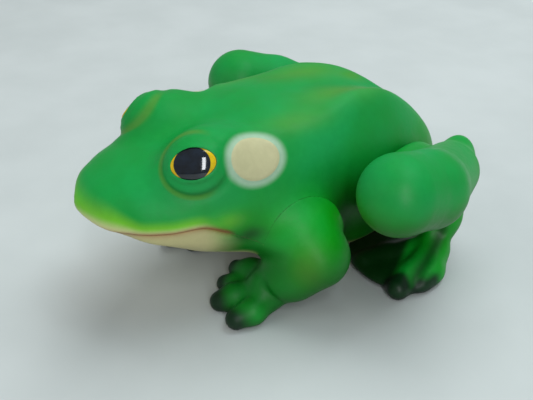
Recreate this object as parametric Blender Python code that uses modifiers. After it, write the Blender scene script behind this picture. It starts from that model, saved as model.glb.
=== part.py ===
"""Jumping frog toy: a hollow moulded frog with a key-wound clockwork that swings its hind legs.

The frog faces -Y, its left side is +X, and it stands on z = 0, with the origin under the
middle of its box. Every length below is in millimetres and becomes metres in the meshes.
"""

import math

import bmesh
import bpy
from mathutils import Euler, Matrix, Vector

MM = 0.001
GAP = 0.3  # clearance between neighbouring pieces
WALL = 2.4  # wall of the moulded shells
REACH = 100.0  # half size of the large cutters
FINE, COARSE = 18, 12  # segments of large and of small round pieces

# Body sections: y, lowest z, z of the widest level, highest z, half width,
# distance of the back ridge from the middle, height of that ridge.
SECTIONS = [
    (-80, 45.0, 46.5, 48.0, 2.0, 20, 0.0),
    (-76, 40.2, 44.0, 52.4, 12.6, 20, 0.0),
    (-68, 37.0, 41.0, 56.8, 22.0, 20, 0.0),
    (-58, 32.6, 39.3, 60.0, 28.0, 20, 0.0),
    (-46, 27.0, 39.0, 63.4, 32.2, 21, 0.0),
    (-32, 21.0, 40.0, 67.5, 34.3, 23, 0.6),
    (-14, 16.2, 38.5, 71.5, 35.3, 24, 1.4),
    (6, 8.2, 34.8, 72.3, 35.2, 23, 2.4),
    (24, 3.6, 32.3, 71.2, 33.0, 19, 5.0),
    (40, 3.2, 31.0, 66.9, 28.6, 15, 4.4),
    (54, 6.2, 28.7, 59.4, 23.2, 11, 2.4),
    (68, 11.8, 26.2, 48.4, 16.6, 6, 0.0),
    (80, 21.0, 25.0, 31.0, 5.0, 6, 0.0),
]
SIDE_POWER, ROOF_POWER, FLOOR_POWER = 2.6, 2.8, 2.4  # squareness of a section
RIDGE_WIDTH = 6.5
RINGS, RING_POINTS = 20, 28
CAVITY_FRONT, CAVITY_BACK = -72.0, 69.0
# The two shells part along the mouth, behind the shoulder and low along the flank (y, z).
PARTING = [(-95, 41.5), (-80, 41.8), (-70, 42.3), (-58, 42.4), (-47, 43.4), (-39, 40.5), (-28, 34)]
PARTING += [(-13, 22), (0, 15), (16, 12.5), (54, 15.5), (68, 18.5), (95, 26)]
MOUND, MOUND_RADII, MOUND_TURN = (17.5, -38.5, 61.2), (11.5, 14, 11.5), (0, 12, 8)
EYE, EYE_LOOK, EYE_RADIUS, EYE_RISE = (25.9, -46.3, 66.0), (0.71, -0.46, 0.53), 6.4, 3.0
EAR, EAR_OUT, EAR_RADIUS = (28.0, -24.8, 63.1), (0.76, 0.0, 0.65), 8.3

# Hind leg: hip axle (y, z), how far the legs swing, and the level of the leg's inner face at
# each distance from the axle, just outside the flank.
HIP = (54.0, 38.0)
KICK = math.radians(24)
LEG_FACE = [(0, 23.6), (4, 25.3), (8, 27), (14, 29.1), (20, 31), (30, 33.5), (40, 35.2), (50, 35.8)]
LEG_FACE += [(72, 36.5)]
AXLE_RADIUS, AXLE_END = 1.6, 33.0
ROCKER = 14.0  # rocker arm, axle to pin
PEG, PEG_RADIUS = (-8.0, 35.0), 4.0  # front leg's plug: y, z

# Clockwork: three upright arbors between two plates.
MODULE = 0.7
GREAT_TEETH, SECOND_TEETH, PINION_TEETH, RATCHET_TEETH = 36, 30, 9, 12
KEY_AT = (0.0, -6.0)
SECOND_TURN = math.radians(60)  # direction of the second arbor as the winding arbor sees it
PLATE = 1.2
BOTTOM_PLATE, TOP_PLATE = 24.0, 41.0  # z of each plate's underside
PILLARS = [(x, y) for y in (-15, 24) for x in (-15, 15)]
GREAT_Z, SECOND_Z, RATCHET_Z, CRANK_Z = 37.2, 33.3, 35.2, 20.5
CLICK_RADIUS = 9.0  # from the winding arbor to the click's pivot
THROW = ROCKER * math.sin(KICK / 2)  # crank radius that swings the rocker through KICK
ROD_Z, ROD_BEND = 14.3, 28.0  # level of the rod under the crank, y where it turns upwards


def centre_distance(wheel_teeth):
    return (wheel_teeth + PINION_TEETH) * MODULE / 2


SECOND_AT = (
    KEY_AT[0] + centre_distance(GREAT_TEETH) * math.cos(SECOND_TURN),
    KEY_AT[1] + centre_distance(GREAT_TEETH) * math.sin(SECOND_TURN),
)
CRANK_AT = (0.0, SECOND_AT[1] + math.sqrt(centre_distance(SECOND_TEETH) ** 2 - SECOND_AT[0] ** 2))
ROCKER_PIN = (HIP[0] - ROCKER * math.sin(KICK / 2), HIP[1] - ROCKER * math.cos(KICK / 2))


# ---------------------------------------------------------------- scene, materials, objects


def clear_scene():
    for old in list(bpy.data.objects):
        bpy.data.objects.remove(old, do_unlink=True)


def new_collection(name):
    made = bpy.data.collections.new(name)
    bpy.context.scene.collection.children.link(made)
    return made


clear_scene()
PARTS = new_collection("jumping_frog")
CUTTERS = new_collection("cutters")


def material(name, colour, roughness, metallic=0.0):
    made = bpy.data.materials.new(name)
    made.use_nodes = True
    shader = made.node_tree.nodes["Principled BSDF"]
    shader.inputs["Base Color"].default_value = (*colour, 1)
    shader.inputs["Roughness"].default_value = roughness
    shader.inputs["Metallic"].default_value = metallic
    return made


GREEN = material("green_vinyl", (0.03, 0.27, 0.07), 0.42)
CREAM = material("cream_vinyl", (0.62, 0.55, 0.36), 0.45)
BLACK = material("gloss_black", (0.01, 0.01, 0.012), 0.08)
BRASS = material("brass", (0.62, 0.42, 0.14), 0.3, 1.0)
STEEL = material("steel", (0.55, 0.56, 0.58), 0.32, 1.0)
TINPLATE = material("tinplate", (0.66, 0.65, 0.6), 0.38, 1.0)
SPRING_STEEL = material("blued_spring_steel", (0.1, 0.12, 0.18), 0.25, 1.0)


def add(name, mesh, look, at=(0, 0, 0)):
    """A part made of a mesh in metres, with its origin at a place in millimetres."""
    mesh.name = name
    mesh.materials.clear()
    mesh.materials.append(look)
    part = bpy.data.objects.new(name, mesh)
    part.location = Vector(at) * MM
    PARTS.objects.link(part)
    return part


def helper(name, mesh, at=(0, 0, 0)):
    """A cutter or a filler: a solid that shapes other parts and is no part itself."""
    made = bpy.data.objects.new(name, mesh)
    made.location = Vector(at) * MM
    made.hide_render = True
    made.display_type = "WIRE"
    CUTTERS.objects.link(made)
    return made


def shape(part, other, operation):
    modifier = part.modifiers.new(operation.lower(), "BOOLEAN")
    modifier.operation = operation
    modifier.solver = "EXACT"
    modifier.object = other


def cut(part, *others):
    for other in others:
        shape(part, other, "DIFFERENCE")


def fuse(part, *others):
    for other in others:
        shape(part, other, "UNION")


def pivot(name, at):
    made = bpy.data.objects.new(name, None)
    made.location = Vector(at) * MM
    PARTS.objects.link(made)
    return made


def hang(centre, *parts):
    """Parents the parts to an empty on their joint's axis, without moving them."""
    for part in parts:
        part.parent = centre
        part.matrix_parent_inverse = Matrix.Translation(-centre.location)


# ---------------------------------------------------------------- meshes


def finished(bm, smooth=True):
    """A mesh in metres from a bmesh in millimetres, with its faces turned outwards."""
    bmesh.ops.recalc_face_normals(bm, faces=bm.faces)
    mesh = bpy.data.meshes.new("mesh")
    bm.to_mesh(mesh)
    bm.free()
    mesh.transform(Matrix.Scale(MM, 4))
    if smooth:
        mesh.shade_smooth()
        mesh.set_sharp_from_angle(angle=math.radians(35))
    return mesh


def towards(direction):
    """Rotation that takes +Z to the direction."""
    return Vector(direction).to_track_quat("Z", "Y").to_matrix().to_4x4()


def rod_matrix(start, end):
    start, end = Vector(start), Vector(end)
    return Matrix.Translation((start + end) / 2) @ towards(end - start)


def cylinder(start, end, radius, segments=COARSE):
    bm = bmesh.new()
    length = (Vector(end) - Vector(start)).length
    bmesh.ops.create_cone(bm, cap_ends=True, segments=segments, radius1=radius, radius2=radius,
                          depth=length, matrix=rod_matrix(start, end))
    return finished(bm)


def box(low, high):
    bm = bmesh.new()
    size = Vector(high) - Vector(low)
    middle = Matrix.Translation((Vector(low) + Vector(high)) / 2)
    bmesh.ops.create_cube(bm, size=1, matrix=middle @ Matrix.Diagonal((*size, 1)))
    return finished(bm, smooth=False)


def add_ball(bm, centre, radii, turn=(0, 0, 0), segments=COARSE):
    spin = Euler([math.radians(angle) for angle in turn]).to_matrix().to_4x4()
    place = Matrix.Translation(centre) @ spin @ Matrix.Diagonal((*radii, 1))
    bmesh.ops.create_uvsphere(bm, u_segments=segments, v_segments=segments // 2, radius=1,
                              matrix=place)


def ellipsoid(centre, radii, turn=(0, 0, 0), segments=COARSE):
    bm = bmesh.new()
    add_ball(bm, centre, radii, turn, segments)
    return finished(bm)


def turned(profile, segments=COARSE, closed=False):
    """A turned solid about local Z. The profile (radius, z) runs down the outer side."""
    bm = bmesh.new()
    points = [bm.verts.new((radius * MM, 0, z * MM)) for radius, z in profile]
    for first, second in zip(points, points[1:] + points[:1] if closed else points[1:]):
        bm.edges.new((first, second))
    mesh = bpy.data.meshes.new("profile")
    bm.to_mesh(mesh)
    bm.free()
    lathe = bpy.data.objects.new("lathe", mesh)
    CUTTERS.objects.link(lathe)
    screw = lathe.modifiers.new("screw", "SCREW")
    screw.steps = screw.render_steps = segments
    screw.use_merge_vertices = True
    screw.merge_threshold = 0.00001
    return baked(lathe)


def baked(source):
    """The evaluated mesh of a helper object, welded and turned outwards. The helper goes."""
    graph = bpy.context.evaluated_depsgraph_get()
    mesh = bpy.data.meshes.new_from_object(source.evaluated_get(graph))
    bpy.data.objects.remove(source, do_unlink=True)
    bm = bmesh.new()
    bm.from_mesh(mesh)
    bmesh.ops.remove_doubles(bm, verts=bm.verts, dist=0.000002)
    bmesh.ops.recalc_face_normals(bm, faces=bm.faces)
    bm.to_mesh(mesh)
    bm.free()
    mesh.shade_smooth()
    mesh.set_sharp_from_angle(angle=math.radians(35))
    return mesh


def extruded(outlines, low, high, across="Z"):
    """A flat outline with holes, from low to high along the axis across its plane."""
    curve = bpy.data.curves.new("outline", "CURVE")
    curve.dimensions = "2D"
    curve.fill_mode = "BOTH"
    curve.extrude = (high - low) / 2 * MM
    for outline in outlines:
        spline = curve.splines.new("POLY")
        spline.points.add(len(outline) - 1)
        for point, (x, y) in zip(spline.points, outline):
            point.co = (x * MM, y * MM, 0, 1)
        spline.use_cyclic_u = True
    flat = bpy.data.objects.new("flat", curve)
    CUTTERS.objects.link(flat)
    mesh = baked(flat)
    mesh.transform(Matrix.Translation((0, 0, (low + high) / 2 * MM)))
    if across == "X":  # the outline is then (y, z)
        mesh.transform(Matrix(((0, 0, 1, 0), (1, 0, 0, 0), (0, 1, 0, 0), (0, 0, 0, 1))))
    if across == "Y":  # the outline is then (z, x)
        mesh.transform(Matrix(((0, 1, 0, 0), (0, 0, 1, 0), (1, 0, 0, 0), (0, 0, 0, 1))))
    return mesh


def arc(centre, radius, start=0.0, end=360.0, steps=COARSE):
    """Points on an arc, in degrees. A full circle leaves out its last, repeated point."""
    count = steps if abs(end - start) >= 360 else steps + 1
    angles = [math.radians(start + (end - start) * i / steps) for i in range(count)]
    return [(centre[0] + radius * math.cos(a), centre[1] + radius * math.sin(a)) for a in angles]


# ---------------------------------------------------------------- the frog's body


def slope(rows, i, column):
    """Slope of a column at row i that never overshoots its neighbours."""

    def side(j):
        return (rows[j + 1][column] - rows[j][column]) / (rows[j + 1][0] - rows[j][0])

    if i in (0, len(rows) - 1):
        return side(min(i, len(rows) - 2))
    before, after = side(i - 1), side(i)
    return 2 * before * after / (before + after) if before * after > 0 else 0.0


def smooth(rows, place, column):
    """Value of a column at a place, on a smooth curve through the rows."""
    i = max(j for j in range(len(rows) - 1) if rows[j][0] <= place or j == 0)
    width = rows[i + 1][0] - rows[i][0]
    t = min(max((place - rows[i][0]) / width, 0), 1)
    low, high = rows[i][column], rows[i + 1][column]
    start, end = slope(rows, i, column) * width, slope(rows, i + 1, column) * width
    curve = (2 * t**3 - 3 * t**2 + 1) * low + (3 * t**2 - 2 * t**3) * high
    return curve + (t**3 - 2 * t**2 + t) * start + (t**3 - t**2) * end


def signed_power(value, power):
    return math.copysign(abs(value) ** power, value)


def section_point(y, angle, grow):
    """Point of the body's section at y, where angle 0 is the left flank and 90 the back."""
    low, level, high, half, ridge_x, ridge = [smooth(SECTIONS, y, c) for c in range(1, 7)]
    x = (half + grow) * signed_power(math.cos(angle), 2 / SIDE_POWER)
    if math.sin(angle) < 0:
        rise = -(level - low + grow) * abs(math.sin(angle)) ** (2 / FLOOR_POWER)
    else:
        high += ridge * math.exp(-(((abs(x) - ridge_x) / RIDGE_WIDTH) ** 2))
        rise = (high - level + grow) * math.sin(angle) ** (2 / ROOF_POWER)
    return x, y * (1 + grow / -SECTIONS[0][0]), level + rise


def body_loft(front, back, grow=0.0):
    """The body's solid from front to back, with its surface moved outwards by grow."""
    bm = bmesh.new()
    rings = []
    for i in range(RINGS):
        # Rings crowd towards the snout and the tail, where the sections change fastest.
        t = 0.5 - 0.5 * math.cos(math.pi * i / (RINGS - 1))
        y = front + (back - front) * t
        angles = [2 * math.pi * k / RING_POINTS for k in range(RING_POINTS)]
        rings.append([bm.verts.new(section_point(y, angle, grow)) for angle in angles])
    for first, second in zip(rings, rings[1:]):
        for k in range(RING_POINTS):
            after = (k + 1) % RING_POINTS
            bm.faces.new((first[k], first[after], second[after], second[k]))
    bm.faces.new(rings[0])
    bm.faces.new(reversed(rings[-1]))
    return finished(bm)


def parting_block(name, shift, far_z):
    """Everything on one side of the parting surface, moved by shift along Z."""
    outline = [(y, z + shift) for y, z in PARTING]
    outline += [(PARTING[-1][0], far_z), (PARTING[0][0], far_z)]
    return helper(name, extruded([outline], -REACH, REACH, across="X"))


def mirrored(point, side):
    return (point[0] * side, point[1], point[2])


def beside(point, direction, distance):
    return Vector(point) + Vector(direction).normalized() * distance


def eye_parts(side):
    """One eye, a pressed-in dome on a stem, and the pocket that takes it."""
    name = "left" if side > 0 else "right"
    rim = [(EYE_RADIUS * math.cos(a), EYE_RISE * math.sin(a))
           for a in (math.radians(angle) for angle in (72, 54, 36, 18, 0))]
    eye = turned([(0, EYE_RISE), *rim, (EYE_RADIUS, -0.8), (2, -0.8), (2, -5), (0, -5)], FINE)
    pocket = turned([(0, 15), (EYE_RADIUS + GAP, 15), (EYE_RADIUS + GAP, -0.8 - GAP),
                     (2 + GAP, -0.8 - GAP), (2 + GAP, -5 - GAP), (0, -5 - GAP)], FINE)
    turn = towards(mirrored(EYE_LOOK, side))
    eye.transform(turn)
    pocket.transform(turn)
    at = mirrored(EYE, side)
    add(f"eye_{name}", eye, BLACK, at)
    return helper(f"eye_pocket_{name}", pocket, at)


def screw_post(name, x, y, low, high, radius):
    return helper(name, cylinder((x, y, low), (x, y, high), radius))


def countersunk_hole(name, x, y, seat):
    """Clearance for one screw driven upwards, whose head ends at the seat."""
    profile = [(0, seat + 14), (1.4, seat + 14), (1.4, seat), (2.8, seat), (2.8, 0), (0, 0)]
    return helper(name, turned(profile), (x, y, 0))


def case_screw(name, x, y, seat, length):
    """A pan-head screw pointing up, with its head under the seat."""
    head = [(2.4, seat - 1.2), (2.0, seat - 1.6), (0, seat - 1.6)]
    body = [(0, seat + length), (0.6, seat + length), (1.1, seat + length - 1), (1.1, seat - GAP)]
    return add(name, turned([*body, (2.4, seat - GAP), *head]), STEEL, (x, y, 0))


CHIN, VENT = (0, -55), (0, 65)  # the two screws that join the shells
CHIN_SEAT, VENT_SEAT, MOTOR_SEAT = 36.2, 13.0, 21.4


def body_shells():
    outer = helper("outer", body_loft(-80, 80))
    cavity = helper("cavity", body_loft(CAVITY_FRONT, CAVITY_BACK, -WALL))
    mounds = [helper(f"mound_{s}", ellipsoid(mirrored(MOUND, s), MOUND_RADII,
              (MOUND_TURN[0], s * MOUND_TURN[1], s * MOUND_TURN[2]), FINE)) for s in (1, -1)]
    ears = []
    for side in (1, -1):
        inner, face = (beside(mirrored(EAR, side), mirrored(EAR_OUT, side), d) for d in (-3, 1))
        ears.append(helper(f"ear_{side}", cylinder(inner, face, EAR_RADIUS, FINE)))
    pockets = [eye_parts(side) for side in (1, -1)]
    peg_holes = [helper(f"peg_hole_{s}", cylinder((s * 20, *PEG), (s * 45, *PEG), PEG_RADIUS + GAP))
                 for s in (1, -1)]
    hip_hole = helper("hip_hole", cylinder((-40, *HIP), (40, *HIP), AXLE_RADIUS + 0.5))

    back = add("back_shell", body_loft(-80, 80), GREEN)
    fuse(back, *mounds)
    cut(back, cavity, *pockets, *peg_holes, hip_hole)
    fuse(back, *ears)
    fuse(back, screw_post("chin_post", *CHIN, 30, 59, 3.2), screw_post("vent_post", *VENT, 8, 47, 3.2))
    cut(back, parting_block("below", GAP / 2, -REACH),
        *(countersunk_hole(f"pilot_{n}", *at, seat) for n, at, seat in
          (("chin", CHIN, CHIN_SEAT), ("vent", VENT, VENT_SEAT))))

    belly = add("belly_shell", body_loft(-80, 80), CREAM)
    cut(belly, cavity)
    fuse(belly, screw_post("chin_boss", *CHIN, 32.5, 45, 3.2),
         screw_post("vent_boss", *VENT, 12, 30, 3.2))
    cut(belly, parting_block("above", -GAP / 2, REACH), peg_holes[0], peg_holes[1])
    posts = [screw_post(f"motor_post_{i}", x, y, 0, BOTTOM_PLATE - GAP, 4.2)
             for i, (x, y) in enumerate(PILLARS)]
    for post in posts:
        inside = post.modifiers.new("inside", "BOOLEAN")
        inside.operation = "INTERSECT"
        inside.object = outer
    fuse(belly, *posts, screw_post("key_boss", *KEY_AT, 12, 21, 7))
    cut(belly, helper("bush_hole", cylinder((*KEY_AT, 5), (*KEY_AT, 30), 4.2)),
        helper("bush_seat", cylinder((*KEY_AT, 0), (*KEY_AT, 12), 6.8)))
    for name, at, seat in (("chin", CHIN, CHIN_SEAT), ("vent", VENT, VENT_SEAT)):
        cut(belly, countersunk_hole(f"{name}_hole", *at, seat))
        case_screw(f"case_screw_{name}", *at, seat, 12)
    for i, at in enumerate(PILLARS):
        cut(belly, countersunk_hole(f"motor_hole_{i}", *at, MOTOR_SEAT))
        case_screw(f"motor_screw_{i + 1}", *at, MOTOR_SEAT, 9.5)


# ---------------------------------------------------------------- the limbs


def limb_mesh(chains, balls, side, voxel):
    """A soft limb: tapered rods through rows of (x, y, z, radius) and ellipsoids, melted together."""
    bm = bmesh.new()
    for chain in chains:
        for x, y, z, radius in chain:
            add_ball(bm, (x * side, y, z), (radius,) * 3)
        for (*start, first), (*end, second) in zip(chain, chain[1:]):
            place = rod_matrix(mirrored(start, side), mirrored(end, side))
            bmesh.ops.create_cone(bm, cap_ends=True, segments=COARSE, radius1=first,
                                  radius2=second, depth=(Vector(end) - Vector(start)).length,
                                  matrix=place)
    for centre, radii, (turn_x, turn_y, turn_z) in balls:
        add_ball(bm, mirrored(centre, side), radii, (turn_x, side * turn_y, side * turn_z))
    source = helper("limb_source", finished(bm))
    remesh = source.modifiers.new("melt", "REMESH")
    remesh.mode = "VOXEL"
    remesh.voxel_size = voxel * MM
    soften = source.modifiers.new("soften", "SMOOTH")
    soften.factor = 0.5
    soften.iterations = 4
    thin = source.modifiers.new("thin", "DECIMATE")
    thin.ratio = LIMB_DETAIL
    return baked(source)


LIMB_DETAIL = 0.085  # share of the remeshed faces that a limb keeps
LIMB_VOXEL = 1.4
ARM = [(25, -11, 35, 12), (34, -9.5, 31, 11.6), (40.5, -6, 23.5, 10.6), (36.5, -14, 15.5, 8.8)]
ARM += [(31.5, -22, 10, 7.2)]
PALM = ((29.5, -25, 4.8), (8.6, 9, 5.4), (0, 0, 0))
FINGERS = [
    [(34, -22, 6.2, 5.0), (36.5, -31, 5.0, 4.7), (36, -37.5, 3.8, 4.1)],
    [(28, -25, 5.4, 5.2), (25.5, -33, 4.6, 4.9), (24, -38, 3.6, 4.0)],
    [(25, -23, 4.8, 4.4), (19, -28.5, 4.2, 4.2), (15.5, -31.5, 3.6, 3.4)],
    [(26, -18.5, 10, 5.4), (18.5, -22, 8, 4.5), (12.5, -24.5, 6.2, 3.6)],
]
SHANK = [(57, 14.7, 52, 14.3), (56, 28, 47.8, 13.6), (38, 55, 37.5, 12)]
LEG_BALLS = [
    ((30.5, 68, 38.6), (7.2, 8.4, 11), (15, 0, 26)),  # heel
    ((36.5, 32, 40.5), (9.5, 28, 12.4), (2, 0, 27)),  # thigh
    ((26, 52, 33.5), (9.5, 11, 11), (0, 0, 0)),  # hip
    ((34.5, 37.5, 3.2), (22, 18.5, 4.2), (0, 0, -8)),  # web
]
FOOT = [(34, 64.5, 34, 7), (38.5, 57, 19, 6.2), (42, 49.5, 8.5, 5.8)]
TOES = [
    [(43, 51, 6.6, 5.4), (49.5, 42.5, 4.6, 4.5), (52.5, 35.5, 3.8, 4.2)],
    [(42, 50, 7.6, 5.6), (49, 34, 4.9, 4.8), (52, 24.5, 3.9, 4.4)],
    [(38, 49, 6.6, 5), (34, 34, 4.2, 4.4), (31, 24.5, 3.6, 4.0)],
]


def leg_face_profile(shift):
    return [(radius, level + shift) for radius, level in LEG_FACE]


def limbs():
    ground = helper("ground", box((-REACH, -REACH, -REACH), (REACH, REACH, 0)))
    body_room = helper("body_room", body_loft(-80, 80, GAP))
    hind_legs = []
    for side, name in ((1, "left"), (-1, "right")):
        arm = add(f"front_leg_{name}", limb_mesh([ARM, *FINGERS], [PALM], side, LIMB_VOXEL),
                  GREEN)
        cut(arm, ground, body_room)
        fuse(arm, helper(f"peg_{name}", cylinder((side * 28, *PEG), (side * 40, *PEG), PEG_RADIUS)))
        bore = cylinder((side * 20, *PEG), (side * 38.6, *PEG), 1.5)
        cut(arm, helper(f"peg_bore_{name}", bore))
        head = [(0, 10.5), (0.5, 10.5), (1.2, 9.5), (1.2, 0), (3.4, 0), (3.0, -1.4), (0, -1.4)]
        screw = turned(head)
        screw.transform(towards((side, 0, 0)))
        add(f"front_leg_screw_{name}", screw, STEEL, (side * (28 - GAP), *PEG))

        leg = add(f"hind_leg_{name}", limb_mesh([SHANK, FOOT, *TOES], LEG_BALLS, side, LIMB_VOXEL),
                  GREEN)
        inner = turned([(0, LEG_FACE[0][1] + GAP), *leg_face_profile(GAP)[1:], (72, -5), (0, -5)],
                       FINE)
        inner.transform(towards((side, 0, 0)))
        bore = cylinder((0, *HIP), (side * (AXLE_END + GAP), *HIP), AXLE_RADIUS + GAP)
        cut(leg, ground, helper(f"leg_room_{name}", inner, (0, *HIP)),
            helper(f"leg_bore_{name}", bore))
        hind_legs.append(leg)
    return hind_legs


# ---------------------------------------------------------------- the clockwork


def gear_outline(teeth, facing, tooth=True):
    """Outline of a wheel with a tooth, or a gap, towards the angle that it faces."""
    pitch_radius = teeth * MODULE / 2
    tip, root = pitch_radius + 0.8 * MODULE, pitch_radius - 1.1 * MODULE
    pitch = 2 * math.pi / teeth
    start = facing if tooth else facing + pitch / 2
    corners = ((-0.31, root), (-0.11, tip), (0.11, tip), (0.31, root))
    if teeth <= PINION_TEETH:
        corners = ((-0.26, root), (-0.1, tip), (0.1, tip), (0.26, root))
    return [(radius * math.cos(start + (i + share) * pitch), radius * math.sin(start + (i + share) * pitch))
            for i in range(teeth) for share, radius in corners]


def ratchet_outline():
    """Saw teeth, 12 of them, steep on the side that the click holds."""
    pitch = 2 * math.pi / RATCHET_TEETH
    points = []
    for i in range(RATCHET_TEETH):
        for share, radius in ((0, 5.0), (0.1, 4.0)):
            angle = (i + share - 0.27) * pitch
            points.append((radius * math.cos(angle), radius * math.sin(angle)))
    return points


def ring_of_holes(count, distance, radius, start=0.0):
    angles = [start + 360 * i / count for i in range(count)]
    return [arc((distance * math.cos(math.radians(a)), distance * math.sin(math.radians(a))), radius,
                steps=12) for a in angles]


def arbor(low, high, radius):
    tip = radius - 0.4
    return [(0, high), (tip, high), (radius, high - 0.5), (radius, low + 0.5), (tip, low), (0, low)]


def spiral(inner, outer, turns, thickness):
    """Outline of a flat spiral strip, out along one side and back along the other."""
    steps = int(turns * 14)
    angles = [2 * math.pi * turns * i / steps for i in range(steps + 1)]
    radii = [inner + (outer - inner) * i / steps for i in range(steps + 1)]
    out = [((r + thickness / 2) * math.cos(a), (r + thickness / 2) * math.sin(a))
           for r, a in zip(radii, angles)]
    home = [((r - thickness / 2) * math.cos(a), (r - thickness / 2) * math.sin(a))
            for r, a in zip(radii, angles)]
    return out + home[::-1]


def plates():
    holes = [arc(at, 1.5, steps=12) for at in (SECOND_AT, CRANK_AT)]
    holes += [arc(KEY_AT, 1.5 + GAP), *(arc(at, 1.5, steps=12) for at in PILLARS)]

    def outline(back, narrow):
        """Rounded plate with a tail of half width narrow, if it reaches further back."""
        corners = [(-18, -18), (18, -18), (18, 27), (-18, 27)]
        if back > 27:
            corners = [(-18, -18), (18, -18), (18, 27), (narrow, 30), (narrow, back),
                       (-narrow, back), (-narrow, 30), (-18, 27)]
        return corners

    bottom = extruded([outline(27, 0), *holes], BOTTOM_PLATE, BOTTOM_PLATE + PLATE)
    add("bottom_plate", bottom, TINPLATE)
    rivets = [arc((x, 42), 1.4, steps=12) for x in (-7, 7)]
    top = extruded([outline(47, 9.4), *holes, *rivets], TOP_PLATE, TOP_PLATE + PLATE)
    add("top_plate", top, TINPLATE)

    foot, head = BOTTOM_PLATE + PLATE + GAP, TOP_PLATE - GAP
    stud = TOP_PLATE + PLATE + 0.8
    pillar = [(0, stud), (1.2, stud), (1.2, head), (2.2, head), (2.2, foot), (1.4, foot),
              (1.4, foot + 9), (0, foot + 9)]
    for i, (x, y) in enumerate(PILLARS):
        add(f"pillar_{i + 1}", turned(pillar), STEEL, (x, y, 0))


def hip_bracket():
    """A channel under which the hip axle hangs: a web on the top plate and two lugs."""
    web = TOP_PLATE + PLATE + GAP
    half = 11.2
    lug = [(37, web), (49.5, web), *arc(HIP, 4.2, 65, -180, 12), (37, web - 3)]
    bracket = add("hip_bracket", box((-half, 37, web), (half, 49.5, web + PLATE)), TINPLATE)
    for side in (1, -1):
        low, high = sorted((side * (half - PLATE), side * half))
        raised = [(y, z + (0.4 if z == web else 0)) for y, z in lug]
        fuse(bracket, helper(f"lug_{side}", extruded([raised], low, high, across="X")))
    cut(bracket, helper("axle_clearance", cylinder((-20, *HIP), (20, *HIP), AXLE_RADIUS + GAP)))
    for x, name in ((7, "left"), (-7, "right")):
        cut(bracket, helper(f"rivet_hole_{name}", cylinder((x, 42, web - 2), (x, 42, web + 4), 1.4)))
        under, over = TOP_PLATE - GAP, web + PLATE + GAP
        rivet = [(0, over + 0.9), (1.6, over + 0.7), (2.2, over), (1.1, over), (1.1, under),
                 (2.2, under), (2.2, under - 0.8), (0, under - 0.8)]
        add(f"bracket_rivet_{name}", turned(rivet), STEEL, (x, 42, 0))


def winding_train():
    """The key, its arbor with the ratchet wheel, the mainspring and the great wheel."""
    centre = pivot("winding_axis", (*KEY_AT, 0))
    wing_z, wing_x, wing = 5.7, 6.2, 3.8
    outline = [(wing_z + wing * math.cos(a), side * wing_x + wing * math.sin(a)) for side, a in
               [(1, math.radians(d)) for d in range(-40, 221, 20)]
               + [(-1, math.radians(d)) for d in range(140, 401, 20)]]
    holes = [arc((wing_z, side * wing_x), 1.7, steps=12) for side in (1, -1)]
    key = add("winding_key", extruded([outline, *holes], -0.8, 0.8, across="Y"), BRASS,
              (*KEY_AT, 0))
    fuse(key, helper("key_hub", cylinder((*KEY_AT, 4), (*KEY_AT, 18), 2.6)))
    cut(key, helper("key_bore", cylinder((*KEY_AT, 7.6), (*KEY_AT, 20), 1.5 + GAP)))
    bush = [(3.9, 22), (3.9, 12 - GAP), (6, 12 - GAP), (6, 10.8), (2.9, 10.8), (2.9, 22)]
    add("key_bushing", turned(bush, closed=True), BRASS, (*KEY_AT, 0))
    shaft = add("winding_arbor", turned(arbor(8, 44, 1.5)), STEEL, (*KEY_AT, 0))
    ratchet = extruded([ratchet_outline(), arc((0, 0), 1.8, steps=12)], RATCHET_Z, RATCHET_Z + 1.2)
    ratchet = add("ratchet_wheel", ratchet, STEEL, (*KEY_AT, 0))
    hang(centre, key, shaft, ratchet)
    add("mainspring", extruded([spiral(2.9, 12, 5.2, 0.5)], 26.6, 31.8), SPRING_STEEL, (*KEY_AT, 0))

    wheel_centre = pivot("great_wheel_axis", (*KEY_AT, 0))
    great = [gear_outline(GREAT_TEETH, SECOND_TURN), arc((0, 0), 1.8, steps=12)]
    great += ring_of_holes(4, 7.6, 2.3, 45)
    great += [arc((0, -CLICK_RADIUS), 1.2, steps=12)]
    wheel = add("great_wheel", extruded(great, GREAT_Z, GREAT_Z + 1.0), BRASS, (*KEY_AT, 0))
    hang(wheel_centre, wheel)

    click_centre = pivot("click_axis", (KEY_AT[0], KEY_AT[1] - CLICK_RADIUS, 0))
    blade = [(1.6, -0.8), (1.7, 0.8), (0.6, 3.2), (0.9, 4.0), (0.2, 4.1), (-1.0, 2.6),
             (-1.7, 0.8), (-1.6, -0.8), (0, -1.7)]
    click = extruded([blade], RATCHET_Z, RATCHET_Z + 1.2)
    click = add("click", click, STEEL, (KEY_AT[0], KEY_AT[1] - CLICK_RADIUS, 0))
    x, y = KEY_AT[0], KEY_AT[1] - CLICK_RADIUS
    fuse(click, helper("click_pin", cylinder((x, y, RATCHET_Z + 0.6), (x, y, GREAT_Z + 1.6), 0.9)))
    hang(click_centre, click)
    click_centre.parent = wheel_centre
    click_centre.matrix_parent_inverse = Matrix.Translation(-wheel_centre.location)


def second_train():
    centre = pivot("second_axis", (*SECOND_AT, 0))
    shaft = add("second_arbor", turned(arbor(22.5, 43.4, 1.2)), STEEL, (*SECOND_AT, 0))
    pinion = extruded([gear_outline(PINION_TEETH, SECOND_TURN + math.pi, tooth=False)], 36, 39.6)
    fuse(shaft, helper("second_pinion", pinion, (*SECOND_AT, 0)))
    facing = math.atan2(CRANK_AT[1] - SECOND_AT[1], CRANK_AT[0] - SECOND_AT[0])
    wheel = [gear_outline(SECOND_TEETH, facing), arc((0, 0), 1.5, steps=12),
             *ring_of_holes(4, 6, 2.1)]
    wheel = add("second_wheel", extruded(wheel, SECOND_Z, SECOND_Z + 1.0), BRASS, (*SECOND_AT, 0))
    hang(centre, shaft, wheel)


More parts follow.
